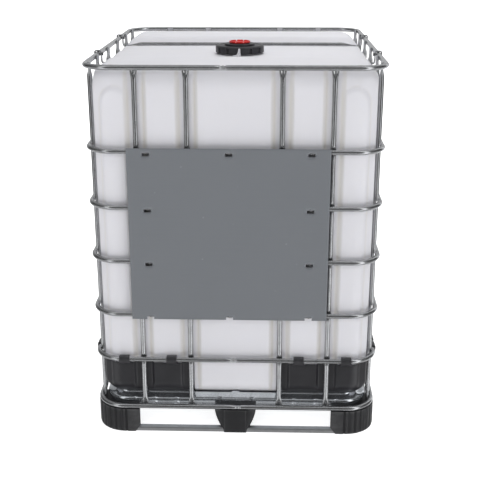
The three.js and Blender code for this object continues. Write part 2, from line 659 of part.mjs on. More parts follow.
// ---- outlet valve ----
function valve() {
  const { z, stemY, bore, neckR, neckEnd, end } = VALVE;
  const { throat, spout, ball, ballHalf, shoulder, flange, tower } = VALVE_BODY;
  const upright = (x0, z0, z1, r, sides) => rod([x0, stemY, z + z0], [x0, stemY, z + z1], r, sides);
  const face = neckEnd + GASKET + 2 * GAP + 0.4;
  add("neck_gasket", turnedOnValve(ringProfile(28, 33, neckEnd + GAP, face - GAP), 16), GREY_RUBBER);

  let body = turnedOnValve([
    [bore, face],
    [neckR - 0.5, face],
    [neckR - 0.5, face + flange],
    [throat, face + flange],
    [throat, stemY - shoulder],
    [ball, stemY - ballHalf],
    [ball, stemY + ballHalf],
    [spout, stemY + shoulder],
    [spout, end],
    [bore, end],
    [bore, face],
  ]);
  body = body.add(upright(0, 30, STEM.collar - 1, tower, 16));
  body = body.subtract(upright(0, STEM.bottom - 1, STEM.collar + 7, STEM.hole, 12));
  body = body.subtract(rod([0, stemY - 24, z], [0, stemY + 24, z], bore, 20));
  add("valve_body", body, BLACK);

  const nutStart = NICHE.y + 5;
  const collar = face + flange + GAP;
  let nut = turnedOnValve([
    [NUT.inner, nutStart],
    [NUT.r, nutStart],
    [NUT.r, collar + 4],
    [throat + 0.7, collar + 4],
    [throat + 0.7, collar],
    [NUT.inner, collar],
    [NUT.inner, nutStart],
  ]);
  for (let i = 0; i < NUT.lobes; i++) {
    const lobe = new THREE.BoxGeometry(4, 24, 8).translate(0, NICHE.y + 20, NUT.r + 0.5);
    nut = nut.add(solid(lobe.rotateY((2 * Math.PI * i) / NUT.lobes).translate(0, 0, z)));
  }
  add("union_nut", nut, BLACK);

  const disc = rod([0, stemY - 2, z], [0, stemY + 2, z], bore - 0.5, 20);
  const stem = upright(0, STEM.bottom, STEM.collar, STEM.r, 12);
  const square = upright(0, STEM.collar - 3, STEM.top, STEM.square, 4);
  add("valve_disc", disc.add(stem).add(square), GREY_RUBBER);

  const { hub, bottom, top, length, halfWidth, tipHalf, low, high } = HANDLE;
  const lever = box(0, length - 2, stemY - halfWidth, stemY + halfWidth, z + low, z + high);
  const tip = box(length - 10, length, stemY - tipHalf, stemY + tipHalf, z + low - 4, z + high);
  const socket = upright(0, bottom - 3, STEM.top + 1, STEM.socket, 4);
  add("valve_handle", upright(0, bottom, top, hub, 16).add(lever).add(tip).subtract(socket), BLACK);

  const seat = end + GASKET_SPACE;
  const cap = turnedOnValve([
    [0, seat],
    [CAP.inner, seat],
    [CAP.inner, CAP.y0],
    [CAP.r, CAP.y0],
    [CAP.r, CAP.y1 - 2],
    [CAP.r - 2, CAP.y1],
    [0, CAP.y1],
  ]);
  add("outlet_cap", cap, BLACK);
  const capRing = ringProfile(bore + 0.5, spout, end + GAP, seat - GAP);
  add("outlet_cap_gasket", turnedOnValve(capRing, 16), GREY_RUBBER);
}

add("floor_frame", runner(), STEEL);
feet();
tray();
hoops();
posts();
crossBars();
labelPlate();
bottle();
guards();
lid();
valve();

export default root;
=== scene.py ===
"""The looks of a caged bulk container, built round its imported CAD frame. Metres, +Z up, label plate on -Y."""
import math

import bpy
import bmesh
from mathutils import Matrix, Vector


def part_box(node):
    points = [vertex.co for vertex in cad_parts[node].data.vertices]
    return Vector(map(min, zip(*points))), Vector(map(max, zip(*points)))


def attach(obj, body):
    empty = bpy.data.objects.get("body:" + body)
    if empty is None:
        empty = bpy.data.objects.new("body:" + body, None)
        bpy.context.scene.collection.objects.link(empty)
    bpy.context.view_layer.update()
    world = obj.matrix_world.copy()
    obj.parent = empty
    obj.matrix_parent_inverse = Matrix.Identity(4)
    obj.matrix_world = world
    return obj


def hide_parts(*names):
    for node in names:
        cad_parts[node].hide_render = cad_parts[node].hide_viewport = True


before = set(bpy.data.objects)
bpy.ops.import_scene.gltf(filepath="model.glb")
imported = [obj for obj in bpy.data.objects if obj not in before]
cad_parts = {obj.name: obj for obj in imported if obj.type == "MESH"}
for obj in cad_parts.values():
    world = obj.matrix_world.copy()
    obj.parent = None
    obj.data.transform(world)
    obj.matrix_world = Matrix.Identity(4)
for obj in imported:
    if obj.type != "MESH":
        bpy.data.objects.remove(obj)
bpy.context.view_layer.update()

scene = bpy.context.scene
MM = 0.001


def lo(node):
    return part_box(node)[0]


def hi(node):
    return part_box(node)[1]


def centre(node):
    return (lo(node) + hi(node)) / 2


def size(node):
    return hi(node) - lo(node)


# ---- sizes, from the frame where it holds them ----
HOOPS = ["bottom_rail", "hoop_1", "hoop_2", "hoop_3", "hoop_4", "hoop_5", "top_rail"]
FRONT_POSTS = [f"post_front_{i}" for i in range(1, 5)]
SIDE_POSTS = [f"post_right_{i}" for i in range(1, 7)]
TUBE_R = size("hoop_2").z / 2
HOOP_X = hi("hoop_2").x - TUBE_R
HOOP_Y = hi("hoop_2").y - TUBE_R
HOOP_CORNER = 98 * MM
HOOP_Z = {name: centre(name).z for name in HOOPS}
END_X = [centre(name).x for name in FRONT_POSTS]
SIDE_Y = [centre(name).y for name in SIDE_POSTS]
BOTTLE_X = hi("bottle").x
BOTTLE_Y = hi("bottle").y
BOTTLE_CORNER = 80 * MM
BOTTLE_LOW = lo("bottle").z
SHOULDER_Z = 1240 * MM
RAISED_Z = 1320 * MM
SADDLE_Z = 1292 * MM
BAR_Y = abs(centre("cross_bar_front").y)
BAR_Z = 1294.5 * MM
CHANNEL = 10 * MM
ARCH = {"x": 398 * MM, "half_x": 49 * MM, "z": 1195 * MM, "half_z": 58 * MM, "from_x": 349 * MM,
        "deep": 6 * MM}
SHADE_BAND = 31 * MM    # from a post line to the middle of the painted shade band beside it
CORNER_POST_Y = 512 * MM    # where the outer side posts cross the hoops' bend
FOOT_CORNER = 108 * MM

# Signs of x and y at each corner in plan, and where in degrees its bend starts.
QUARTERS = ((1, -1, -90), (1, 1, 0), (-1, 1, 90), (-1, -1, 180))
CORNERS = (("front_left", -1, -1), ("front_right", 1, -1), ("back_left", -1, 1), ("back_right", 1, 1))


def clamp(x):
    return min(1.0, max(0.0, x))


def smooth(a, b, x):
    t = clamp((x - a) / (b - a))
    return t * t * (3 - 2 * t)


def mix(a, b, t):
    return a + (b - a) * t


# ---- materials ----
def node(tree, kind, inputs=None, **attributes):
    made = tree.nodes.new("ShaderNode" + kind)
    for key, value in attributes.items():
        setattr(made, key, value)
    for key, value in (inputs or {}).items():
        if isinstance(value, bpy.types.NodeSocket):
            tree.links.new(value, made.inputs[key])
        else:
            made.inputs[key].default_value = value
    return made


def shader(name, **values):
    made = bpy.data.materials.new(name + "_finish")
    made.use_nodes = True
    made["slot"] = name
    tree = made.node_tree
    bsdf = tree.nodes["Principled BSDF"]
    for key, value in values.items():
        bsdf.inputs[key.replace("_", " ")].default_value = value
    where = node(tree, "TexCoord").outputs["Object"]
    return made, tree, bsdf, where


def stretched(tree, where, scale):
    return node(tree, "Mapping", {"Vector": where, "Scale": scale}).outputs["Vector"]


def noise_of(tree, where, scale, detail=3.0, roughness=0.55):
    inputs = {"Vector": where, "Scale": scale, "Detail": detail, "Roughness": roughness}
    return node(tree, "TexNoise", inputs).outputs["Fac"]


def ramp(tree, factor, stops):
    made = node(tree, "ValToRGB", {"Fac": factor})
    elements = made.color_ramp.elements
    while len(elements) < len(stops):
        elements.new(0.5)
    for element, (at, colour) in zip(elements, stops):
        element.position = at
        element.color = (*colour, 1)
    return made.outputs["Color"]


def grey(v, tint=(1.0, 1.0, 1.0)):
    return tuple(v * t for t in tint)


def maths(tree, operation, *values):
    return node(tree, "Math", dict(enumerate(values)), operation=operation).outputs[0]


def between(tree, factor, low, high):
    inputs = {"Value": factor, "To Min": low, "To Max": high}
    return node(tree, "MapRange", inputs).outputs["Result"]


def between_steps(tree, value, start, end, low, high):
    inputs = {"Value": value, "From Min": start, "From Max": end, "To Min": low, "To Max": high}
    return node(tree, "MapRange", inputs, interpolation_type="SMOOTHSTEP").outputs["Result"]


def mixed(tree, factor, a, b):
    return node(tree, "Mix", {0: factor, 6: a, 7: b}, data_type="RGBA").outputs[2]


def bump(tree, bsdf, height, strength, distance):
    made = node(tree, "Bump", {"Height": height, "Strength": strength, "Distance": distance})
    tree.links.new(made.outputs["Normal"], bsdf.inputs["Normal"])


def paint(tree, bsdf, colour, roughness):
    tree.links.new(colour, bsdf.inputs["Base Color"])
    tree.links.new(roughness, bsdf.inputs["Roughness"])


def galvanised(name, dark, light, rough, spangle=45.0, tint=(1.0, 1.01, 1.03)):
    """Zinc-coated steel: crystal patches, fine streaks and dull spots."""
    made, tree, bsdf, where = shader(name, Metallic=0.92)
    cells = node(tree, "TexVoronoi", {"Vector": where, "Scale": spangle}).outputs["Color"]
    patch = node(tree, "RGBToBW", {"Color": cells}).outputs["Val"]
    both = maths(tree, "ADD", patch, noise_of(tree, where, 9.0, 5.0))
    fine = noise_of(tree, where, 260.0, 4.0)
    colour = ramp(tree, between(tree, both, 0.0, 0.55), [(0.15, grey(dark, tint)), (0.9, grey(light, tint))])
    dull = ramp(tree, noise_of(tree, where, 30.0, 6.0), [(0.55, grey(0)), (0.72, grey(1))])
    spot = (*grey((dark + light) / 2.3, tint), 1)
    paint(tree, bsdf, mixed(tree, dull, colour, spot), between(tree, fine, *rough))
    bump(tree, bsdf, fine, 0.12, 0.0004)
    return made


def moulded(name, colour, rough, scuff, edge=None):
    """Moulded plastic: a fine grain, cloudy gloss, and paler rubbed edges."""
    made, tree, bsdf, where = shader(name)
    cloud = noise_of(tree, where, 14.0, 5.0)
    base = ramp(tree, cloud, [(0.3, grey(0.8, colour)), (0.75, grey(1.25, colour))])
    worn = node(tree, "NewGeometry").outputs["Pointiness"]
    rubbed = ramp(tree, worn, [(0.515, grey(0)), (0.58, grey(1))])
    patchy = maths(tree, "MULTIPLY", rubbed, noise_of(tree, where, 60.0, 5.0))
    pale = edge or tuple(min(1.0, 0.12 + 1.6 * c) for c in colour)
    shade = mixed(tree, maths(tree, "MULTIPLY", patchy, scuff), base, (*pale, 1))
    paint(tree, bsdf, shade, between(tree, noise_of(tree, where, 40.0, 4.0), *rough))
    bump(tree, bsdf, noise_of(tree, where, 900.0, 2.0), 0.18, 0.0004)
    return made


def bottle_plastic():
    """Natural polyethylene: milky and cool, with painted shade, darker and warmer, in folds and in two bands
    beside each middle post.
    """
    made, tree, bsdf, where = shader("bottle_hdpe", Roughness=0.42, Subsurface_Weight=0.22,
                                     Subsurface_Radius=(0.03, 0.028, 0.025), Subsurface_Scale=0.4)
    cloud = noise_of(tree, where, 2.2, 4.0)
    base = ramp(tree, cloud, [(0.3, (0.655, 0.65, 0.682)), (0.7, (0.70, 0.695, 0.73))])
    # Painted shade: concave folds, found by pointiness, get a darker, warmer tone.
    fold = node(tree, "NewGeometry").outputs["Pointiness"]
    inner = ramp(tree, fold, [(0.455, grey(1)), (0.497, grey(0))])
    shaded_tone = mixed(tree, inner, base, (0.66, 0.635, 0.585, 1))
    place = node(tree, "SeparateXYZ", {"Vector": where}).outputs
    # Painted shade: darker, warmer bands on the wall, a set distance each side of the posts.
    for along, across, lines, wall in (("X", "Y", END_X[2:], BOTTLE_Y), ("Y", "X", SIDE_Y[3:5], BOTTLE_X)):
        away = place[along]
        for step in ((lines[0] + lines[1]) / 2, (lines[1] - lines[0]) / 2, SHADE_BAND):
            away = maths(tree, "SUBTRACT", maths(tree, "ABSOLUTE", away), step)
        post_shade_band = between_steps(tree, maths(tree, "ABSOLUTE", away), 11 * MM, 2 * MM, 0.0, 0.4)
        out = maths(tree, "ABSOLUTE", place[across])
        on_wall = between_steps(tree, out, wall - 40 * MM, wall - 25 * MM, 0.0, 1.0)
        shaded_tone = mixed(tree, maths(tree, "MULTIPLY", post_shade_band, on_wall), shaded_tone, (0.58, 0.555, 0.50, 1))
    drawn = noise_of(tree, stretched(tree, where, (1, 1, 0.15)), 26.0, 4.0)
    paint(tree, bsdf, shaded_tone, between(tree, drawn, 0.36, 0.5))
    bump(tree, bsdf, drawn, 0.1, 0.004)
    return made


def coated_sheet():
    """Grey coil-coated sheet with faint rolling lines, specks and handling marks."""
    made, tree, bsdf, where = shader("label_plate_steel", Metallic=0.15)
    lines = noise_of(tree, stretched(tree, where, (3, 3, 140)), 3.0, 3.0)
    cloud = noise_of(tree, where, 5.0, 5.0)
    tone = between(tree, maths(tree, "ADD", lines, cloud), 0.0, 0.5)
    base = ramp(tree, tone, [(0.2, (0.163, 0.174, 0.189)), (0.85, (0.185, 0.195, 0.212))])
    spots = node(tree, "TexVoronoi", {"Vector": where, "Scale": 16.0}).outputs["Distance"]
    speck = ramp(tree, spots, [(0.03, grey(0.35)), (0.06, grey(0))])
    shade = mixed(tree, speck, base, (0.32, 0.33, 0.34, 1))
    paint(tree, bsdf, shade, between(tree, cloud, 0.4, 0.52))
    bump(tree, bsdf, noise_of(tree, where, 700.0, 2.0), 0.12, 0.0003)
    return made


CAGE = galvanised("cage_steel", 0.36, 0.56, rough=(0.14, 0.26))
TRAY = galvanised("tray_steel", 0.54, 0.82, rough=(0.1, 0.24), spangle=22.0, tint=(0.96, 1.0, 1.05))
STRIP = galvanised("floor_frame_steel", 0.33, 0.46, rough=(0.25, 0.4))
BOLT = galvanised("screw_steel", 0.12, 0.22, rough=(0.3, 0.45), spangle=200.0)
SHEET = coated_sheet()
HDPE = bottle_plastic()
GUARD = moulded("guard_plastic", (0.018, 0.0175, 0.021), rough=(0.3, 0.42), scuff=0.25)
FOOT = moulded("foot_plastic", (0.012, 0.012, 0.014), rough=(0.42, 0.6), scuff=0.7)
CLOSURE = moulded("closure_plastic", (0.02, 0.02, 0.023), rough=(0.34, 0.48), scuff=0.5)
RED = moulded("vent_plug_red", (0.62, 0.012, 0.01), rough=(0.25, 0.4), scuff=0.4, edge=(0.85, 0.2, 0.16))
TAB = galvanised("tab_steel", 0.5, 0.72, rough=(0.2, 0.35))
RUBBER = moulded("seal_rubber", (0.03, 0.03, 0.03), rough=(0.6, 0.8), scuff=0.1)


# ---- meshes ----
def piece(name, verts, faces, material, stands_for=(), body="container", slot=None, sharp=32):
    """One object from points and faces, with smooth shading across edges flatter than sharp degrees."""
    mesh = bpy.data.meshes.new(name)
    mesh.from_pydata([tuple(v) for v in verts], [], faces)
    work = bmesh.new()
    work.from_mesh(mesh)
    bmesh.ops.remove_doubles(work, verts=work.verts, dist=2e-6)
    bmesh.ops.dissolve_degenerate(work, edges=work.edges, dist=1e-6)
    bmesh.ops.recalc_face_normals(work, faces=work.faces)
    work.to_mesh(mesh)
    work.free()
    mesh.materials.append(material)
    mesh.shade_smooth()
    mesh.set_sharp_from_angle(angle=math.radians(sharp))
    made = bpy.data.objects.new(name, mesh)
    scene.collection.objects.link(made)
    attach(made, body)
    if stands_for:
        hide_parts(*stands_for)
    return made


def bevel(made, width, segments, angle):
    modifier = made.modifiers.new("rounded_edges", "BEVEL")
    modifier.width = width
    modifier.segments = segments
    modifier.limit_method = "ANGLE"
    modifier.angle_limit = math.radians(angle)


def grid(rows, closed_rows=False, closed_columns=True, caps=True):
    """Points and faces of a surface through rows of equal length, capped at its first and last row."""
    count = len(rows[0])
    verts = [p for row in rows for p in row]
    faces = []
    for i in range(len(rows) if closed_rows else len(rows) - 1):
        k = (i + 1) % len(rows)
        for j in range(count if closed_columns else count - 1):
            n = (j + 1) % count
            faces.append((i * count + j, i * count + n, k * count + n, k * count + j))
    if caps and not closed_rows:
        faces.append(tuple(range(count))[::-1])
        faces.append(tuple((len(rows) - 1) * count + j for j in range(count)))
    return verts, faces


def merged(*parts):
    verts, faces = [], []
    for some_verts, some_faces in parts:
        start = len(verts)
        verts += [tuple(v) for v in some_verts]
        faces += [tuple(start + i for i in face) for face in some_faces]
    return verts, faces


def moved(part, matrix):
    verts, faces = part
    return [matrix @ Vector(v) for v in verts], faces


def circle(sides):
    angles = [2 * math.pi * k / sides for k in range(sides)]
    return [(math.cos(a), math.sin(a)) for a in angles]


def lathe(profile, sides, shape=None, at=(0, 0, 0), axis="Z", closed=False):
    """A body turned about an axis from (radius, height) points, changed by shape(angle, radius, height)."""
    rows = []
    for i, (c, s) in enumerate(circle(sides)):
        row = []
        for r, h in profile:
            if shape:
                r, h = shape(2 * math.pi * i / sides, r, h)
            row.append(Vector(at) + Vector((r * c, r * s, h) if axis == "Z" else (r * c, h, -r * s)))
        rows.append(row)
    return grid(rows, closed_rows=True, closed_columns=closed, caps=False)


def mm_profile(*points):
    return [(r * MM, h * MM) for r, h in points]


def off_mark(angle, marks):
    """How far an angle is from the nearest of some equal marks, as a share of their spacing."""
    return abs((angle * marks / (2 * math.pi)) % 1.0 - 0.5)


def sweep(frames, section, closed=False):
    """A section of (out, up) points carried along frames of (place, out, up); section(i) gives the points."""
    rows = []
    for i, (place, out, up) in enumerate(frames):
        rows.append([place + out * a + up * b for a, b in section(i)])
    return grid(rows, closed_rows=closed)


def rounded_box(low, high, radius, steps=3):
    """A box with rounded upright edges and softened top and bottom edges."""
    cx, cy = (low[0] + high[0]) / 2, (low[1] + high[1]) / 2
    hx, hy = (high[0] - low[0]) / 2 - radius, (high[1] - low[1]) / 2 - radius
    levels = []
    for k in range(steps + 1):
        a = math.pi / 2 * k / steps
        levels.append((low[2] + radius * (1 - math.sin(a)), radius * math.cos(a)))
    levels = levels[::-1] + [(high[2] - (z - low[2]), reach) for z, reach in levels]
    rows = []
    for z, reach in levels:
        row = []
        for x, y, start in QUARTERS:
            for k in range(steps + 1):
                a = math.radians(start + 90 * k / steps)
                row.append((cx + x * hx + reach * math.cos(a), cy + y * hy + reach * math.sin(a), z))
        rows.append(row)
    return grid(rows)


def flat_section(thick, wide):
    return [(thick, -wide), (thick, wide), (-thick, wide), (-thick, -wide)]


def along_line(points, up, radius, steps=5):
    """Frames along a line of points, its corners rounded off, in a plane whose normal is up."""
    points = rounded_corners(points, radius, steps)
    frames = []
    for i, p in enumerate(points):
        before, after = points[max(i - 1, 0)], points[min(i + 1, len(points) - 1)]
        direction = (after - before).normalized()
        frames.append((p, up.cross(direction).normalized(), up))
    return frames


def rounded_corners(points, radius, steps):
    """A line of points whose inner corners are rounded off."""
    made = [points[0]]
    for before, here, after in zip(points, points[1:], points[2:]):
        a, b = before - here, after - here
        cut = min(radius, a.length * 0.45, b.length * 0.45)
        start, end = here + a.normalized() * cut, here + b.normalized() * cut
        for k in range(steps + 1):
            t = k / steps
            made.append(start * (1 - t) ** 2 + here * 2 * t * (1 - t) + end * t * t)
    return made + [points[-1]]


class Loop:
    """A rounded rectangle in plan, sampled at fixed places, that can be grown or shrunk.

    A sample is (x and y share of the straight halves, x and y of the direction it faces).
    """

    def __init__(self, half_x, half_y, corner, step, corner_steps):
        self.half_x, self.half_y, self.corner = half_x, half_y, corner
        self.samples = []
        for i, (sx, sy, start) in enumerate(QUARTERS):
            for k in range(corner_steps + 1):
                a = math.radians(start + 90 * k / corner_steps)
                self.samples.append((sx, sy, math.cos(a), math.sin(a)))
            length = 2 * ((half_x if i % 2 else half_y) - corner)
            count = max(2, round(length / step))
            for k in range(1, count):
                t = 1 - 2 * k / count
                self.samples.append((sy * t, sy, 0.0, sy) if i % 2 else (sx, -sx * t, sx, 0.0))

    def at(self, sample, grow=0.0, least=20 * MM):
        cx, cy, ca, sa = sample
        r = max(self.corner + grow, least)
        return cx * (self.half_x + grow - r) + r * ca, cy * (self.half_y + grow - r) + r * sa


# ---- bottle ----
LEVELS = [BOTTLE_LOW + 2 * MM * k ** 1.6 for k in range(15)]
LEVELS += [mix(LEVELS[-1] + 10 * MM, 1210 * MM, k / 52) for k in range(53)]
LEVELS += [1222 * MM, 1232 * MM]
SHOULDER = 66 * MM
NICHE = {"half_x": 105 * MM, "y": 455 * MM, "top": 330 * MM}
NECK = {"r": 76 * MM, "bore": 70 * MM, "top": lo("lid_gasket").z - 0.3 * MM, "hole": 73 * MM}
bottle_loop = Loop(BOTTLE_X, BOTTLE_Y, BOTTLE_CORNER, step=6.5 * MM, corner_steps=22)


def base_inset(z):
    return 75 * MM * (1 - clamp((z - BOTTLE_LOW) / (78 * MM))) ** 1.8


def wall_relief(sample, z):
    """How far the wall is pressed in: channels behind the posts, and round a raised arch by each corner."""
    x, y = bottle_loop.at(sample)
    facing_x, facing_y = abs(sample[2]), abs(sample[3])
    along = x if facing_y == 1.0 else y
    lines = END_X if facing_y == 1.0 else SIDE_Y if facing_x > 0.8 else []
    depth = 0.0
    for line in lines:
        away = abs(along - line)
        channel, hollow = smooth(38 * MM, 27 * MM, away), smooth(70 * MM, 20 * MM, away)
        depth = max(depth, CHANNEL * channel, 1.6 * MM * hollow)
    if abs(x) < ARCH["from_x"]:
        return depth
    reach = math.hypot((abs(x) - ARCH["x"]) / ARCH["half_x"], max((z - ARCH["z"]) / ARCH["half_z"], 0.0))
    return max(depth, ARCH["deep"] * smooth(0.86, 1.08, reach) * smooth(0.5, 0.9, facing_y))


def bottle_wall(sample, z, grow=0.0, inset=0.0):
    relief = max(0.0, wall_relief(sample, z) - inset * 0.6)
    x, y = bottle_loop.at(sample, grow - inset, least=30 * MM)
    out = Vector((sample[2], sample[3], 0)).normalized()
    return Vector((x - out.x * relief, y - out.y * relief, z))


def top_height(x, y):
    """The bottle's top: two raised ends, a lower saddle between them and a groove for each bar."""
    z = mix(SADDLE_Z, RAISED_Z, smooth(256 * MM, 330 * MM, abs(y)))
    crown = 1.5 * MM * (1 - (x / BOTTLE_X) ** 2)
    groove = smooth(16 * MM, 11 * MM, abs(abs(y) - BAR_Y))
    return mix(z - 1.5 * MM + crown, BAR_Z - TUBE_R - 1 * MM, groove)


def niche_pull(p):
    """Draws the back wall in behind the outlet valve."""
    if p.y < NICHE["y"]:
        return p
    share = smooth(NICHE["half_x"] + 9 * MM, NICHE["half_x"], abs(p.x))
    share *= smooth(NICHE["top"] + 14 * MM, NICHE["top"], p.z)
    return Vector((p.x, mix(p.y, NICHE["y"], share), p.z))


def bottle_skin():
    """Rows of points up the wall, over the shoulder and in to the flat of the top."""
    rows = [[niche_pull(bottle_wall(s, z, inset=base_inset(z))) for s in bottle_loop.samples] for z in LEVELS]
    steps = 14
    for k in range(steps + 1):
        a = math.pi / 2 * k / steps
        z = mix(SHOULDER_Z, RAISED_Z, math.sin(a))
        row = [bottle_wall(s, z, inset=SHOULDER * (1 - math.cos(a)) ** 1.15) for s in bottle_loop.samples]
        for p in row:
            p.z = min(p.z, top_height(p.x, p.y))
        rows.append(row)
    flat_x, flat_y, bend = BOTTLE_X - BOTTLE_CORNER, BOTTLE_Y - BOTTLE_CORNER, BOTTLE_CORNER - SHOULDER
    for k in range(1, 9):
        r = bend * (1 - k / 8)
        row = []
        for cx, cy, ca, sa in bottle_loop.samples:
            x, y = cx * flat_x + r * ca, cy * flat_y + r * sa
            row.append(Vector((x, y, top_height(x, y))))
        rows.append(row)
    return rows


def bottle_top(edge):
    """The flat of the top on a grid that meets its edge, with a hole for the neck."""
    xs, ys = (sorted({round(p[i], 6) for p in edge}) for i in (0, 1))
    top = [Vector((x, y, top_height(x, y))) for y in ys for x in xs]
    away = [p.xy.length for p in top]
    faces = []
    for j in range(len(ys) - 1):
        for i in range(len(xs) - 1):
            a = j * len(xs) + i
            corners = (a, a + 1, a + 1 + len(xs), a + len(xs))
            if all(away[c] > NECK["hole"] for c in corners):
                faces.append(corners)
                continue
            for c in corners:
                if away[c] > NECK["hole"]:
                    scale = NECK["hole"] / away[c]
                    top[c] = Vector((xs[c % len(xs)] * scale, ys[c // len(xs)] * scale, top[c].z))
    return top, faces


def neck():
    """The threaded neck, with its foot and its bore ending inside the top."""
    r, bore, top = NECK["r"], NECK["bore"], NECK["top"]
    thread = []
    for k in range(24):
        ridge = max(0.0, math.sin(k / 24 * 6 * math.pi))
        thread.append((r + 2.2 * MM * ridge, mix(top - 24 * MM, top - 5 * MM, k / 23)))
    return lathe([(r, 1286 * MM), (r, top - 25 * MM), *thread, (r, top - 1.5 * MM), (r - 1.5 * MM, top),
                  (bore + 1 * MM, top), (bore, top - 1 * MM), (bore, 1280 * MM)], 96)


def blade(sides, *levels):
    """A moulding mark in front of the neck, from levels of (height, middle, half width, half depth) in mm."""
    return grid([[((mid + half * u) * MM, (-97.8 + deep * v) * MM, z * MM) for u, v in circle(sides)]
                 for z, mid, half, deep in levels])


def bottle_inside():
    """The inside of the wall, from the foot of the neck to the floor of the bottle."""
    inner = Loop(BOTTLE_X - 15 * MM, BOTTLE_Y - 15 * MM, BOTTLE_CORNER, step=80 * MM, corner_steps=5)
    rows = [[Vector((*(Vector(inner.at(s)).normalized() * NECK["bore"]), 1280 * MM)) for s in inner.samples]]
    for z, inset in ((1280, 54), (1262, 22), (1236, 2), (180, 2), (145, 22), (118, 66)):
        row = [Vector((*inner.at(s, -inset * MM), z * MM)) for s in inner.samples]
        if z * MM < NICHE["top"]:
            row = [Vector((p.x, min(p.y, NICHE["y"] - 8 * MM), p.z)) for p in row]
        rows.append(row)
    verts, faces = grid(rows, caps=False)
    faces.append(tuple(range(len(verts) - len(inner.samples), len(verts))))
    piece("bottle_inside", verts, faces, HDPE, sharp=50)


def bottle():
    rows = bottle_skin()
    verts, faces = grid(rows, caps=False)
    faces.append(tuple(range(len(rows[0])))[::-1])
    stub = lathe(mm_profile((27, 447), (34, 447), (34, 477), (33, 478), (28, 478), (27, 477), (27, 447)), 48,
                 at=(0, 0, centre("union_nut").z), axis="Y")
    lug = blade(16, (1286, -3.5, 12, 5), (1293, -2.8, 10, 4.2), (1300, -1.2, 7.2, 3.2), (1308, 0.2, 5, 2.9),
                (1316, 1, 4.3, 2.6), (1319.6, 1, 3.4, 1.9), (1321, 1, 1.2, 0.8))
    flash = blade(12, *((z, -15, half, 1.1) for z, half in ((1286, 12), (1293, 10), (1296, 6), (1297, 2))))
    shell = merged((verts, faces), bottle_top(rows[-1]), neck(), stub, lug, flash)
    piece("bottle_shell", *shell, HDPE, ["bottle"], sharp=60)
    bottle_inside()


# ---- cage ----
# Where a hoop has extra sections round the joint of its two ends, in mm.
JOINT_STOPS = (-60, -20, -0.4, 0.4, 3, 5, 7, 9, 11, 13, 16, 18, 20, 22, 24, 27, 33, 42)


def ring_frames(half_x, half_y, corner, z, stops=(), steps=14):
    """Frames round the container, with extra stops along the middle of the front side."""
    up = Vector((0, 0, 1))
    frames = []
    for sx, sy, start in QUARTERS:
        for k in range(steps + 1):
            a = math.radians(start + 90 * k / steps)
            out = Vector((math.cos(a), math.sin(a), 0))
            x, y = sx * (half_x - corner) + corner * out.x, sy * (half_y - corner) + corner * out.y
            frames.append((Vector((x, y, z)), out, up))
    return frames + [(Vector((x, -half_y, z)), Vector((0, -1, 0)), up) for x in sorted(stops)]


def crimp(x, at):
    """Share of the tube's radius left at x, where one end is pushed into the next and crimped."""
    past = x - at
    if past < 0:
        return 1.0 - 0.02 * smooth(-60 * MM, 0, past)
    dents = sum(math.exp(-((past - d * MM) / (3.4 * MM)) ** 2) for d in (9, 20))
    return 0.93 + 0.05 * smooth(0, 40 * MM, past) - 0.3 * dents


def hoop(name, joint=None):
    stops = [] if joint is None else [joint + d * MM for d in JOINT_STOPS]
    frames = ring_frames(HOOP_X, HOOP_Y, HOOP_CORNER, HOOP_Z[name], stops)

    def section(i):
        place = frames[i][0]
        at_joint = joint is not None and place.y < 0 and abs(place.x - joint) < 70 * MM
        share = crimp(place.x, joint) if at_joint else 1.0
        dent = max(0.0, 0.93 - share)
        points = []
        for c, s in circle(18):
            r = TUBE_R * 0.995 * (share + dent * 0.9 * max(0.0, -s))
            points.append((r * c, r * s))
        return points

    piece(name + "_tube", *sweep(frames, section, closed=True), CAGE, [name], sharp=50)


POST_FLAT = {"half_width": 13 * MM, "middle": 1.0 * MM, "edge": 10 * MM}


def post_parts(extra):
    """A post standing against hoops whose centre line passes over the origin, with +X outwards."""
    seats = [HOOP_Z[name] for name in HOOPS[1:-1]]
    low, high = HOOP_Z["bottom_rail"] - 7 * MM, HOOP_Z["top_rail"] + 7 * MM
    levels = {low, high}
    for end, way in ((low, 1), (high, -1)):
        levels |= {end + way * d * MM for d in (6, 12, 18, 24, 30, 36, 42, 50, 60)}
    for seat in seats:
        levels |= {seat + d * MM for d in (-34, -22, -16, -12, -9.5, -5, 0, 5, 9.5, 12, 16, 22, 34)}
    rows = []
    for z in sorted(levels):
        end = min(z - low, high - z)
        flat = smooth(46 * MM, 20 * MM, end)
        wide = mix(TUBE_R, POST_FLAT["half_width"], smooth(48 * MM, 10 * MM, end))
        near = min(abs(z - seat) for seat in seats)
        limit = mix(-TUBE_R - 0.3 * MM, 0.0, smooth(9.6 * MM, 17 * MM, near))
        swell = 1 + 0.16 * smooth(16 * MM, 8 * MM, near)
        row = []
        for out, across in circle(28):
            thick = mix(TUBE_R, mix(POST_FLAT["middle"], POST_FLAT["edge"], abs(across) ** 1.5), flat)
            x = -(11.5 * MM + 0.3 * MM * flat) - extra + thick * out
            if near < 17 * MM:
                x = min(x, limit - extra)
            row.append(Vector((x, wide * across * swell, z)))
        rows.append(row)
    return grid(rows)


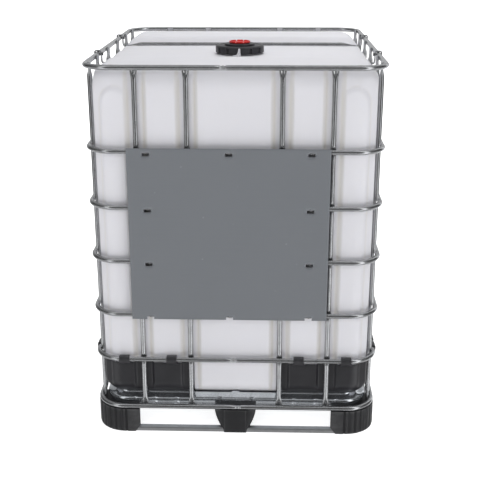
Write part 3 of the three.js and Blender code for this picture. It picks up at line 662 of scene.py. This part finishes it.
def posts():
    def stand(name, x, y, turn, extra=0.0):
        matrix = Matrix.Translation((x, y, 0)) @ Matrix.Rotation(turn, 4, "Z")
        piece(name + "_tube", *moved(post_parts(extra), matrix), CAGE, [name], sharp=45)

    for i, at in enumerate(END_X):
        stand(f"post_front_{i + 1}", at, -HOOP_Y, -math.pi / 2)
        stand(f"post_back_{i + 1}", at, HOOP_Y, math.pi / 2)
    for i, at in enumerate(SIDE_Y):
        if i in (0, 5):    # this post leans round the corner, so the middle of its box isn't its line
            at = math.copysign(CORNER_POST_Y, at)
        past = max(0.0, abs(at) - (HOOP_Y - HOOP_CORNER))
        angle = math.copysign(math.asin(past / HOOP_CORNER), at)
        x = HOOP_X - HOOP_CORNER * (1 - math.cos(angle))
        extra = 2.2 * MM if past > 0 else 0.0
        stand(f"post_left_{i + 1}", -x, at, math.pi - angle, extra)
        stand(f"post_right_{i + 1}", x, at, angle, extra)


# ---- cross bars ----
STRAP = {"half_width": 12 * MM, "half_thick": 2 * MM}


def cross_bar(name):
    y, z = centre(name).y, BAR_Z
    over = HOOP_Z["top_rail"] + TUBE_R + 2.3 * MM
    inner = HOOP_X - TUBE_R - 2.5 * MM
    outer = HOOP_X + TUBE_R + 2.3 * MM
    half = [(x * MM, z - drop * MM) for x, drop in (
        (0, 0), (200, 0), (300, 0), (400, 0), (425, 0), (440, 0.5), (452, 2))]
    half += [(inner + a * MM, z + b * MM) for a, b in ((-16, -5), (-2, -5), (0, 6))]
    half += [(inner, over - 3 * MM), (inner + 2 * MM, over)]
    half += [(outer - a * MM, over - b * MM) for a, b in ((2, 0), (0, 3), (0, 15))]
    line = [Vector((-x, y, h)) for x, h in half[:0:-1]] + [Vector((x, y, h)) for x, h in half]
    frames = along_line(line, Vector((0, 1, 0)), 7 * MM, 4)

    def section(i):
        flat = smooth(405 * MM, 452 * MM, abs(frames[i][0].x))
        thick = mix(TUBE_R, STRAP["half_thick"], flat)
        wide = mix(TUBE_R, STRAP["half_width"], flat)
        power = mix(1.0, 0.45, flat)
        return [(thick * math.copysign(abs(c) ** power, c), wide * math.copysign(abs(s) ** power, s))
                for c, s in circle(20)]

    piece(name + "_tube", *sweep(frames, section), CAGE, [name], sharp=50)


def hex_screw(name):
    low, high = lo(name), hi(name)
    mid = (low + high) / 2
    start, end, way = (low.x, high.x, 1) if mid.x > 0 else (high.x, low.x, -1)
    r = (high.z - low.z) / 2

    def ring(x, radius, sides):
        return [(x, mid.y + radius * c, mid.z + radius * s) for c, s in circle(sides)]

    head = [ring(start + way * depth * MM, r * share, 6)
            for depth, share in ((0.0, 0.78), (0.7, 0.97), (1.4, 1.0), (4.2, 1.0))]
    shank = [ring(x, 2.7 * MM, 12) for x in (head[-1][0][0], end)]
    piece(name + "_hex", *merged(grid(head), grid(shank)), BOLT, [name], slot="cage_steel", sharp=30)


# ---- label plate ----
DIMPLES = ((-163, 846), (-67, 844), (31, 841), (-68, 647), (-182, 750), (146, 749))


def filled(stops, step):
    """The sorted stops with even ones between them, no more than about a step apart."""
    stops = sorted(stops)
    made = []
    for a, b in zip(stops, stops[1:]):
        count = max(1, round((b - a) / step))
        made += [mix(a, b, k / count) for k in range(count)]
    return made + [stops[-1]]


def plate_depth(x, z):
    """How far the sheet is dented in at a place: a slow wave, and a dimple over each weld."""
    dents = [math.exp(-(((x - dx * MM) ** 2 + (z - dz * MM) ** 2) / (9 * MM) ** 2)) for dx, dz in DIMPLES]
    return 0.25 * MM * math.sin(x * 9.0) * math.sin(z * 7.0 + 1.0) + 0.7 * MM * sum(dents)


def label_plate():
    low, high = lo("label_plate"), hi("label_plate")
    front = low.y
    hole = 12 * MM    # height of a tongue's hole, and half its width
    columns = [low.x + d * MM for d in (65, 341, 615)]
    holes = [(x, HOOP_Z[name] - 1.7 * MM) for name in HOOPS[2:6] for x in columns
             if x != columns[1] or name not in HOOPS[3:5]]
    xs = {low.x + 1 * MM, high.x - 7 * MM}
    zs = {low.z + 1 * MM, high.z - 1 * MM}
    for x, z in holes:
        xs |= {x - hole, x + hole}
        zs |= {z - hole, z}
    columns_x = [(low.x, 1.6 * MM), (low.x + 0.3 * MM, 0.7 * MM)]
    columns_x += [(x, 0.3 * MM) for x in filled(xs, 9 * MM)]
    columns_x += [(high.x - x * MM, back * MM) for x, back in ((4.5, 0.5), (2, 1.8), (0.6, 4.2), (0.3, 9))]
    rows_z = [(low.z, 1.4 * MM), (low.z + 0.3 * MM, 0.6 * MM)]
    rows_z += [(z, 0.3 * MM) for z in filled(zs, 9 * MM)]
    rows_z += [(high.z - 0.3 * MM, 0.6 * MM), (high.z, 1.4 * MM)]
    verts = [(x, front + max(back_x, back_z) + plate_depth(x, z), z)
             for z, back_z in rows_z for x, back_x in columns_x]
    faces = []
    width = len(columns_x)
    for j in range(len(rows_z) - 1):
        for i in range(width - 1):
            x = (columns_x[i][0] + columns_x[i + 1][0]) / 2
            z = (rows_z[j][0] + rows_z[j + 1][0]) / 2
            if not any(abs(x - hx) < hole and hz - hole < z < hz for hx, hz in holes):
                a = j * width + i
                faces.append((a, a + 1, a + 1 + width, a + width))
    sheet = piece("label_plate_sheet", verts, faces, SHEET, ["label_plate"], sharp=40)
    solidify = sheet.modifiers.new("thickness", "SOLIDIFY")
    solidify.thickness = 1.5 * MM
    solidify.offset = -1
    back = -HOOP_Y + TUBE_R + 1.1 * MM
    tongues = []
    for x, z in holes:
        line = [Vector((x + 2 * MM, y, z + d * MM)) for y, d in (
            (front + 0.3 * MM, -4.5), (front + 0.6 * MM, -1.5), (front + 3 * MM, 1), (back, 1), (back, -8))]
        frames = along_line(line, Vector((1, 0, 0)), 3 * MM)
        tongues.append(sweep(frames, lambda i: flat_section(0.75 * MM, 4.5 * MM)))
    made = piece("label_plate_tongues", *merged(*tongues), TAB, slot="label_plate_steel", sharp=30)
    bevel(made, 0.3 * MM, 1, 35)


# ---- pallet ----
SWAGES = (214 * MM, 294 * MM, 368 * MM)
# The tray's section as (inset, height) in mm: from under its floor, up the outside and back down inside.
RIM = ((100, 0), (14, 0), (9.2, 1), (6, 4), (3.8, 8), (2, 12), (0.7, 16.5), (0, 21), (0.4, 25), (2, 28.6),
       (5, 31), (9, 32.8), (15, 34.8), (21, 37), (26, 40), (28, 44), (29, 47.4), (30.8, 47), (29.8, 43),
       (27.2, 38.4), (22, 35), (15, 32.6), (9, 30.6), (5, 28), (2.6, 22), (8.6, 5), (101, 2), (113, 21))
# The same in the middle of each end, where the rim stands upright.
MIDDLE_RIM = ((100, 0), (14, 0), (9.5, 1.5), (7, 5), (5.4, 9), (4.4, 13), (3.4, 17), (2.6, 21), (2.4, 25),
              (3.4, 28), (5.6, 29.6), (6.2, 32), (6.2, 38), (6.2, 44), (6.2, 50), (6.4, 54), (8.2, 54.3),
              (8.2, 48), (8.2, 42), (8.2, 36), (8, 32), (6, 30.6), (4.8, 28), (4.6, 22), (7.6, 13), (9, 6),
              (101, 2), (113, 21))


def tray():
    low, high = lo("pallet_tray"), hi("pallet_tray")
    loop = Loop(high.x, high.y, 92 * MM, step=4.5 * MM, corner_steps=20)
    rows = []
    for s in loop.samples:
        x, y = loop.at(s)
        on_end, on_side = abs(s[3]) == 1.0, abs(s[2]) == 1.0
        middle = on_end and abs(x) < 152 * MM
        share = smooth(156 * MM, 148 * MM, abs(x)) if on_end else 0.0
        corner_rise = 3 * smooth(0.3, 0.7, min(abs(s[2]), abs(s[3])))
        dent = 0.0
        for swage in SWAGES:
            if on_end:
                dent += math.exp(-((abs(x) - swage) / (6 * MM)) ** 2)
            if on_side:
                dent += math.exp(-((abs(y) - swage * 1.1) / (6 * MM)) ** 2)
        if middle:
            dent += 0.8 * math.exp(-((abs(x) - 57 * MM) / (7 * MM)) ** 2)
        lip = 5 if middle and abs(x) < 14 * MM else 0
        row = []
        for k, (a, b) in enumerate(zip(RIM, MIDDLE_RIM)):
            inset, up = mix(a[0], b[0], share), mix(a[1], b[1], share)
            if 3 <= k <= 10:
                inset += 2.4 * dent
            if 12 <= k <= 18:
                up += corner_rise
            if 14 <= k <= 16:
                up += lip
            row.append(Vector((*loop.at(s, -inset * MM), low.z + up * MM)))
        rows.append(row)
    verts, faces = grid(rows, closed_rows=True, closed_columns=False, caps=False)
    faces.append(tuple(i * len(RIM) for i in range(len(rows))))
    faces.append(tuple(i * len(RIM) + len(RIM) - 1 for i in range(len(rows)))[::-1])
    for v in verts:    # the rim is cut away under the outlet valve
        if v.y >= high.y - 25 * MM and abs(v.x) <= 66 * MM:
            v.z = min(v.z, low.z + 24 * MM)
    piece("pallet_tray_sheet", verts, faces, TRAY, ["pallet_tray"], sharp=38)


def floor_frame():
    low, high = lo("floor_frame"), hi("floor_frame")
    frames = ring_frames(high.x, high.y, 104 * MM, low.z)
    tall = (high.z - low.z) / MM
    section = mm_profile((-0.2, 0.6), (-0.2, 11.4), (-1.0, 12.2), (-1.4, 13.2), (-1.4, tall - 0.8),
                         (-2.2, tall), (-21.8, tall), (-22.6, tall - 0.8), (-22.6, 1.0), (-21.8, 0.1),
                         (-1.0, 0.1))
    strip = sweep(frames, lambda i: section, closed=True)
    piece("floor_frame_strip", *strip, STRIP, ["floor_frame"], sharp=30)


def lofted_foot(name, plan_at, levels=14):
    top = hi(name).z
    rows = [[Vector((x, y, top * k / levels)) for x, y in plan_at(k / levels)] for k in range(levels + 1)]
    piece(name + "_moulding", *grid(rows), FOOT, [name], sharp=28)


def corner_foot(corner, sx, sy):
    name = "corner_foot_" + corner
    low, high = lo(name), hi(name)
    ex, ey = max(abs(low.x), abs(high.x)), max(abs(low.y), abs(high.y))
    flutes, steps = 7, 6

    def plan(share):
        lean = 18 * MM * clamp(1 - share / 0.28)
        shrink = 1.2 * MM if share == 0 else 0.0
        points = [(ex - 62 * MM, 446 * MM + lean), (ex - 41 * MM, 450 * MM + lean),
                  (ex - 6 * MM, 466 * MM + lean * 0.6)]
        for k in range(flutes * steps + 1):
            a = math.pi / 2 * k / (flutes * steps)
            phase = (k % steps) / steps
            groove = 3.2 * MM * math.exp(-((phase - 0.5) / 0.13) ** 2) * smooth(0.0, 0.1, share + 0.02)
            reach = FOOT_CORNER - groove - shrink
            points.append((ex - FOOT_CORNER + reach * math.cos(a), ey - FOOT_CORNER + reach * math.sin(a)))
        points += [(x * MM, ey - back * MM) for x, back in ((400, 0), (398, 2.4), (394, 2.4), (392, 0))]
        points += [(x * MM + lean, ey - back * MM) for x, back in ((347, 0), (345, 2), (353, 42))]
        points += [(370 * MM + lean * 0.5, 482 * MM), (392 * MM, 450 * MM + lean * 0.5)]
        points = [(sx * x, sy * y) for x, y in points]
        return points if sx * sy > 0 else points[::-1]

    lofted_foot(name, plan)


def middle_foot(end, axis, way):
    name = "middle_foot_" + end
    reach = max(abs(lo(name)[axis]), abs(hi(name)[axis]))
    deep = size(name)[axis] - 4 * MM
    half = 40 * MM

    def plan(share):
        flare = 34 * MM * (1 - (1 - share) ** 1.7)
        outline = [(0, 0.4 * MM), (half - 4 * MM, 0.4 * MM), (half - 2.5 * MM, -0.2 * MM), (half, 0.4 * MM),
                   (half + 1 * MM, 2.5 * MM)]
        for k in range(1, 9):
            t = k / 8
            outline.append((half + 1 * MM + flare * math.sin(t * math.pi / 2), 3 * MM + 16 * MM * t ** 2))
        outline += [(half + flare - 4 * MM, deep * 0.6), (half + flare - 14 * MM, deep)]
        outline += [(-a, b) for a, b in outline[:0:-1]]
        return [(a, way * (reach - b)) if axis == 1 else (way * (reach - b), a) for a, b in outline]

    lofted_foot(name, plan)


# ---- corner guards ----
def guard_body(sx, sy):
    """The shell of a guard: samples round its corner, each with an outer and an inner line of points."""
    top, waist = 268 * MM, 196 * MM
    flat_x, flat_y = BOTTLE_X - BOTTLE_CORNER, BOTTLE_Y - BOTTLE_CORNER
    samples = [(sx * mix(147.5 * MM, flat_x, k / 70) / flat_x, sy, 0.0, float(sy)) for k in range(70)]
    for k in range(29):
        a = math.pi / 2 * (1 - k / 28)
        samples.append((sx, sy, sx * math.cos(a), sy * math.sin(a)))
    samples += [(sx, sy * mix(flat_y, 300 * MM, k / 40) / flat_y, float(sx), 0.0) for k in range(1, 41)]
    rows = []
    for s in samples:
        bottom = 138 * MM + 5 * MM * smooth(0.2, 0.7, min(abs(s[2]), abs(s[3])))
        points = [(mix(bottom, waist, k / 9), 0) for k in range(9)]
        points += [(mix(waist, top - 3 * MM, k / 6), 0) for k in range(7)]
        points += [(top - 0.6 * MM, 0.5), (top, 1.2), (top, 1.9)]
        points += [(z, 2.2) for z, _ in points[-4::-3]] + [(bottom, 2.2)]
        rows.append([bottle_wall(s, z, grow=3.0 * MM, inset=base_inset(z) + inset * MM)
                     for z, inset in points])
    return grid(rows)


def guard_hook(sx, sy, place, along_x):
    """A hook of the guard over the lowest hoop, so far along an end or a side."""
    half, z = HOOP_Y if along_x else HOOP_X, HOOP_Z["hoop_1"]
    line = [(half + reach * MM, z + up * MM) for reach, up in (
        (-22, -27), (-13.5, -25), (-6, -11.5), (10.8, -11.5), (10.8, 10.8), (-8.5, 10.8))]
    line = [Vector((sx * place, sy * r, h) if along_x else (sx * r, sy * place, h)) for r, h in line]
    frames = along_line(line, Vector((1, 0, 0) if along_x else (0, 1, 0)), 7 * MM)

    def section(i):
        from_root = (frames[i][0] - frames[0][0]).length
        return flat_section(1.5 * MM, 18 * MM + 7 * MM * smooth(26 * MM, 4 * MM, from_root))

    return sweep(frames, section)


def corner_guard(corner, sx, sy):
    name = "corner_guard_" + corner
    hooks = [guard_hook(sx, sy, place * MM, along_x)
             for place, along_x in ((226, True), (395, True), (400, False), (470, False))]
    guard = piece(name + "_moulding", *merged(guard_body(sx, sy), *hooks), GUARD, [name], sharp=35)
    bevel(guard, 0.7 * MM, 2, 50)


# ---- filling lid and vent plug ----


def lid():
    boss, r, skirt = hi("lid").z / MM, hi("lid").x / MM, lo("lid").z / MM
    face = boss - 6
    grips = 13

    def slots(angle, radius, height):
        if radius <= (r - 3) * MM:
            return radius, height
        low_end = smooth((skirt + 2) * MM, (skirt + 3) * MM, height)
        top_end = smooth((face - 6.4) * MM, (face - 7.4) * MM, height)
        slot = smooth(0.15, 0.1, off_mark(angle + math.pi / 2 + math.pi / grips, grips))
        return radius - 6 * MM * slot * (low_end * top_end), height

    profile = mm_profile((29, boss - 0.4), (30, boss - 0.1), (44, boss - 0.1), (46, boss), (55, boss),
                         (57, boss - 0.6), (58, boss - 2.4), (58.6, face - 0.8), (61, face - 1.4),
                         (74, face - 1.4), (76, face - 1.1), (78, face - 0.3), (80, face), (85, face),
                         (88.4, face - 1.2), (90.8, face - 3.4), (r, face - 6), (r, face - 6.4),
                         (r, face - 7.4), (r, face - 8.4), (r, face - 14), (r, skirt + 8), (r, skirt + 3.4),
                         (r, skirt + 3), (r, skirt + 2), (r - 0.4, skirt + 0.8), (r - 1.2, skirt),
                         (86.2, skirt), (85.5, skirt + 1), (85.5, face - 2.9), (29, face - 2.9))
    piece("lid_moulding", *lathe(profile, 312, slots, closed=True), CLOSURE, ["lid"], body="filling_lid")


def vent_plug():
    top, r, base = hi("vent_plug").z / MM, hi("vent_plug").x / MM, lo("vent_plug").z / MM

    def castle(angle, radius, height):
        if radius > (r - 8) * MM and height > (top - 4.2) * MM:
            height = mix(height, (top - 4.2) * MM, smooth(0.1, 0.07, off_mark(angle, 8)))
        return radius, height

    profile = mm_profile((0, top - 4.4), (10, top - 4.4), (20, top - 4.4), (30, top - 4.4),
                         (r - 6.4, top - 4.3), (r - 6, top - 3.6), (r - 5.8, top - 1.4), (r - 5, top - 0.3),
                         (r - 4.2, top), (r - 1.8, top), (r - 0.5, top - 0.6), (r, top - 1.8),
                         (r, top - 4.4), (r, top - 5.2), (r - 0.5, top - 5.8), (28.5, top - 5.8),
                         (28.5, base + 1), (27.5, base), (0, base))
    piece("vent_plug_moulding", *lathe(profile, 288, castle), RED, ["vent_plug"], body="vent")


# ---- outlet valve ----
def valve_body(stem_y, z):
    face, end = lo("valve_body").y / MM, hi("valve_body").y / MM
    body = mm_profile((25, face), (33.5, face), (33.5, face + 4), (29.5, face + 4.5), (29.5, stem_y - 22),
                      (33, stem_y - 19), (36, stem_y - 15), (37, stem_y - 12), (37, stem_y + 12),
                      (36, stem_y + 15), (33, stem_y + 19), (31, stem_y + 22), (31, end - 22),
                      (31.0, end - 21), (29.6, end - 20), (29.6, end - 17), (31, end - 16), (31, end - 14),
                      (29.6, end - 13), (29.6, end - 10), (31, end - 9), (31, end - 7), (29.8, end - 6),
                      (29.8, end - 0.8), (29, end), (26, end), (25, end - 1), (25, face))
    tower = mm_profile((6.4, 26), (16, 30), (15, 34), (14, 38), (14, 50.6), (12.6, 52), (6.4, 52))
    rib = rounded_box((-3 * MM, (stem_y - 30) * MM, z + 26 * MM),
                      (3 * MM, (stem_y + 30) * MM, z + 40 * MM), 1.2 * MM)
    moulding = merged(lathe(body, 72, at=(0, 0, z), axis="Y"), lathe(tower, 40, at=(0, stem_y * MM, z)), rib)
    piece("valve_body_moulding", *moulding, CLOSURE, ["valve_body"], sharp=35)


def union_nut(z):
    low, high = lo("union_nut").y / MM, hi("union_nut").y / MM

    def lobed(angle, radius, height):
        if radius > 42 * MM:
            radius += 3.6 * MM * smooth(0.12, 0.06, off_mark(angle, 8))
        return radius, height

    nut = mm_profile((35, low), (42, low), (43, low + 1), (43, low + 22), (42.6, high - 5), (40, high - 1),
                     (38, high), (30.6, high), (30.2, high - 3), (35, high - 6), (35, low))
    piece("union_nut_moulding", *lathe(nut, 192, lobed, at=(0, 0, z), axis="Y"), CLOSURE, ["union_nut"])


def valve_handle(stem_y):
    base, tip, top = lo("valve_handle").z / MM, hi("valve_handle").x / MM, hi("valve_handle").z / MM
    hub = mm_profile((5.2, base), (14, base), (15, base + 1), (15, top - 2), (13.6, top), (7, top),
                     (6, top - 1.6), (0, top - 1.6))
    rows = []
    for x, half, drop in ((8, 8.5, 0), (20, 8.2, 0), (35, 7.4, 0), (55, 7.2, 0), (70, 7.6, -0.4),
                          (82, 9.5, -1.4), (90, 11.8, -2.4), (95, 12.6, -3.4), (tip, 9.5, -4)):
        row = []
        for u, v in circle(20):
            across, up = math.copysign(abs(u) ** 0.5, u), math.copysign(abs(v) ** 0.5, v)
            z = min(top - 0.8, top - 5 + drop * 0.5 + (4 + abs(drop) * 0.3) * up)
            row.append(Vector((x * MM, (stem_y + half * across) * MM, z * MM)))
        rows.append(row)
    piece("valve_handle_moulding", *merged(lathe(hub, 48, at=(0, stem_y * MM, 0)), grid(rows)), CLOSURE,
          ["valve_handle"], body="valve_spindle", sharp=40)


def outlet_cap(z):
    r, out, skirt = hi("outlet_cap").x / MM, hi("outlet_cap").y / MM, lo("outlet_cap").y / MM

    def ribbed(angle, radius, height):
        if radius > (r - 1) * MM and height < (out - 3) * MM:
            radius -= 1.0 * MM * smooth(0.34, 0.2, off_mark(angle, 30))
        return radius, height

    cap = mm_profile((0, out - 3), (20, out - 3), (24, out - 2.6), (26, out - 0.4), (28, out),
                     (r - 2.4, out), (r - 0.8, out - 0.8), (r, out - 2.6), (r, out - 3.4), (r, skirt + 1),
                     (r - 0.8, skirt), (32.6, skirt), (32, skirt + 1), (32, out - 7.4), (0, out - 7.4))
    piece("outlet_cap_moulding", *lathe(cap, 240, ribbed, at=(0, 0, z), axis="Y"), CLOSURE, ["outlet_cap"],
          body="outlet_closure")


def valve():
    z, stem_y = centre("union_nut").z, centre("valve_disc").y / MM
    valve_body(stem_y, z)
    union_nut(z)
    valve_handle(stem_y)
    outlet_cap(z)


# ---- the whole object ----
bottle()
for hoop_name, joint in zip(HOOPS, (-5 * MM, -20 * MM, None, None, None, None, -50 * MM)):
    hoop(hoop_name, joint)
posts()
for bar in ("cross_bar_front", "cross_bar_back"):
    cross_bar(bar)
for corner, _, _ in CORNERS:
    hex_screw("bar_screw_" + corner)
label_plate()
tray()
floor_frame()
for corner, sx, sy in CORNERS:
    corner_foot(corner, sx, sy)
for end, axis, way in (("front", 1, -1), ("back", 1, 1), ("left", 0, -1), ("right", 0, 1)):
    middle_foot(end, axis, way)
for corner, sx, sy in CORNERS:
    corner_guard(corner, sx, sy)
lid()
vent_plug()
valve()
for cad_name in ("lid_gasket", "vent_plug_gasket", "neck_gasket", "outlet_cap_gasket", "valve_disc"):
    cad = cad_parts[cad_name]
    cad.data.materials.clear()
    cad.data.materials.append(RUBBER)
    cad.data.set_sharp_from_angle(angle=math.radians(30))


# ---- studio ----
ROOM = 0.05
# More light in the room: an axis, where along it the light starts and stops changing, and what it adds.
GLOWS = (("Z", -0.22, -0.36, 0.6), ("Z", -0.5, -0.6, -0.15), ("Z", -0.8, -0.92, -0.35), ("Z", 0.3, 1.0, 0.4),
         ("Y", 0.62, 0.95, 0.55))
STRIP_GLOW = 1.7
STRIP_TURN = -44.0
CAMERA_WHITE = 3.0
CAMERA_AT = (0.1137, -3.6061, 1.7483)
CAMERA_TURN, CAMERA_DOWN, CAMERA_ROLL = 1.812, 18.557, -0.081
LENS = 69.825


def floor():
    white = (1.0, 1.0, 1.0, 1.0)
    material, tree, bsdf, where = shader("studio_floor", Roughness=0.6, Emission_Color=white)
    shade = ramp(tree, noise_of(tree, where, 0.6, 3.0), [(0.3, grey(0.93)), (0.7, grey(0.96))])
    tree.links.new(shade, bsdf.inputs["Base Color"])
    away = node(tree, "VectorMath", {0: where}, operation="LENGTH").outputs["Value"]
    tree.links.new(between_steps(tree, away, 1.0, 5.0, 0.75, 1.0), bsdf.inputs["Emission Strength"])
    stops = (-30.0, -10.0, 0.0, 10.0, 30.0)
    verts, faces = grid([[(x, y, 0.0) for x in stops] for y in stops], closed_columns=False, caps=False)
    mesh = bpy.data.meshes.new("studio_floor")
    mesh.from_pydata(verts, [], faces)
    mesh.materials.append(material)
    made = bpy.data.objects.new("studio_floor", mesh)
    scene.collection.objects.link(made)
    made.visible_glossy = False


def area_light(name, place, aim_z, width, tall, power):
    data = bpy.data.lights.new(name, "AREA")
    data.shape = "RECTANGLE"
    data.size = width
    data.size_y = tall
    data.energy = power
    made = bpy.data.objects.new(name, data)
    made.location = place
    made.rotation_euler = (Vector((0, 0, aim_z)) - Vector(place)).to_track_quat("-Z", "Y").to_euler()
    made.visible_glossy = False
    scene.collection.objects.link(made)


def camera():
    data = bpy.data.cameras.new("camera")
    data.lens = LENS
    data.sensor_width = 36.0
    data.clip_end = 200.0
    made = bpy.data.objects.new("camera", data)
    place = Matrix.Translation(CAMERA_AT)
    for angle, axis in ((CAMERA_TURN, "Z"), (90 - CAMERA_DOWN, "X"), (CAMERA_ROLL, "Z")):
        place = place @ Matrix.Rotation(math.radians(angle), 4, axis)
    made.matrix_world = place
    scene.collection.objects.link(made)
    scene.camera = made


def studio_world():
    """A dim room with a bright ground and a tall soft light off each corner, to reflect in the steel.

    The camera itself sees it as plain white.
    """
    world = bpy.data.worlds.new("studio")
    world.use_nodes = True
    tree = world.node_tree
    where = node(tree, "TexCoord").outputs["Generated"]
    split = node(tree, "SeparateXYZ", {"Vector": where}).outputs
    total = ROOM
    for axis, start, end, glow in GLOWS:
        total = maths(tree, "ADD", between_steps(tree, split[axis], start, end, 0.0, glow), total)
    turn = maths(tree, "ARCTAN2", split["Y"], split["X"])
    quarter = maths(tree, "SUBTRACT", turn, math.radians(STRIP_TURN))
    wave = maths(tree, "COSINE", maths(tree, "MULTIPLY", quarter, 4.0))
    side = maths(tree, "MULTIPLY_ADD", maths(tree, "COSINE", quarter), 0.45, 0.55)
    strips = maths(tree, "MULTIPLY", between_steps(tree, wave, 0.65, 0.92, 0.0, STRIP_GLOW), side)
    seen = maths(tree, "MULTIPLY", node(tree, "LightPath").outputs["Is Camera Ray"], CAMERA_WHITE)
    background = tree.nodes["Background"]
    total = maths(tree, "MAXIMUM", maths(tree, "ADD", total, strips), seen)
    tree.links.new(total, background.inputs["Strength"])
    background.inputs["Color"].default_value = (0.98, 0.99, 1.0, 1.0)
    scene.world = world


floor()
studio_world()
area_light("front_box", (-0.8, -4.6, 3.4), 0.75, 3.0, 1.8, 42)
area_light("top_box", (0.4, 0.6, 4.2), 1.2, 2.4, 2.4, 53)
area_light("left_box", (-4.6, 1.2, 2.6), 0.75, 1.8, 2.4, 21)
area_light("right_box", (4.6, 0.4, 2.6), 0.75, 1.8, 2.4, 9)
area_light("back_box", (0.8, 4.8, 3.0), 0.75, 2.6, 1.8, 90)
scene.view_settings.view_transform = "Standard"
camera()
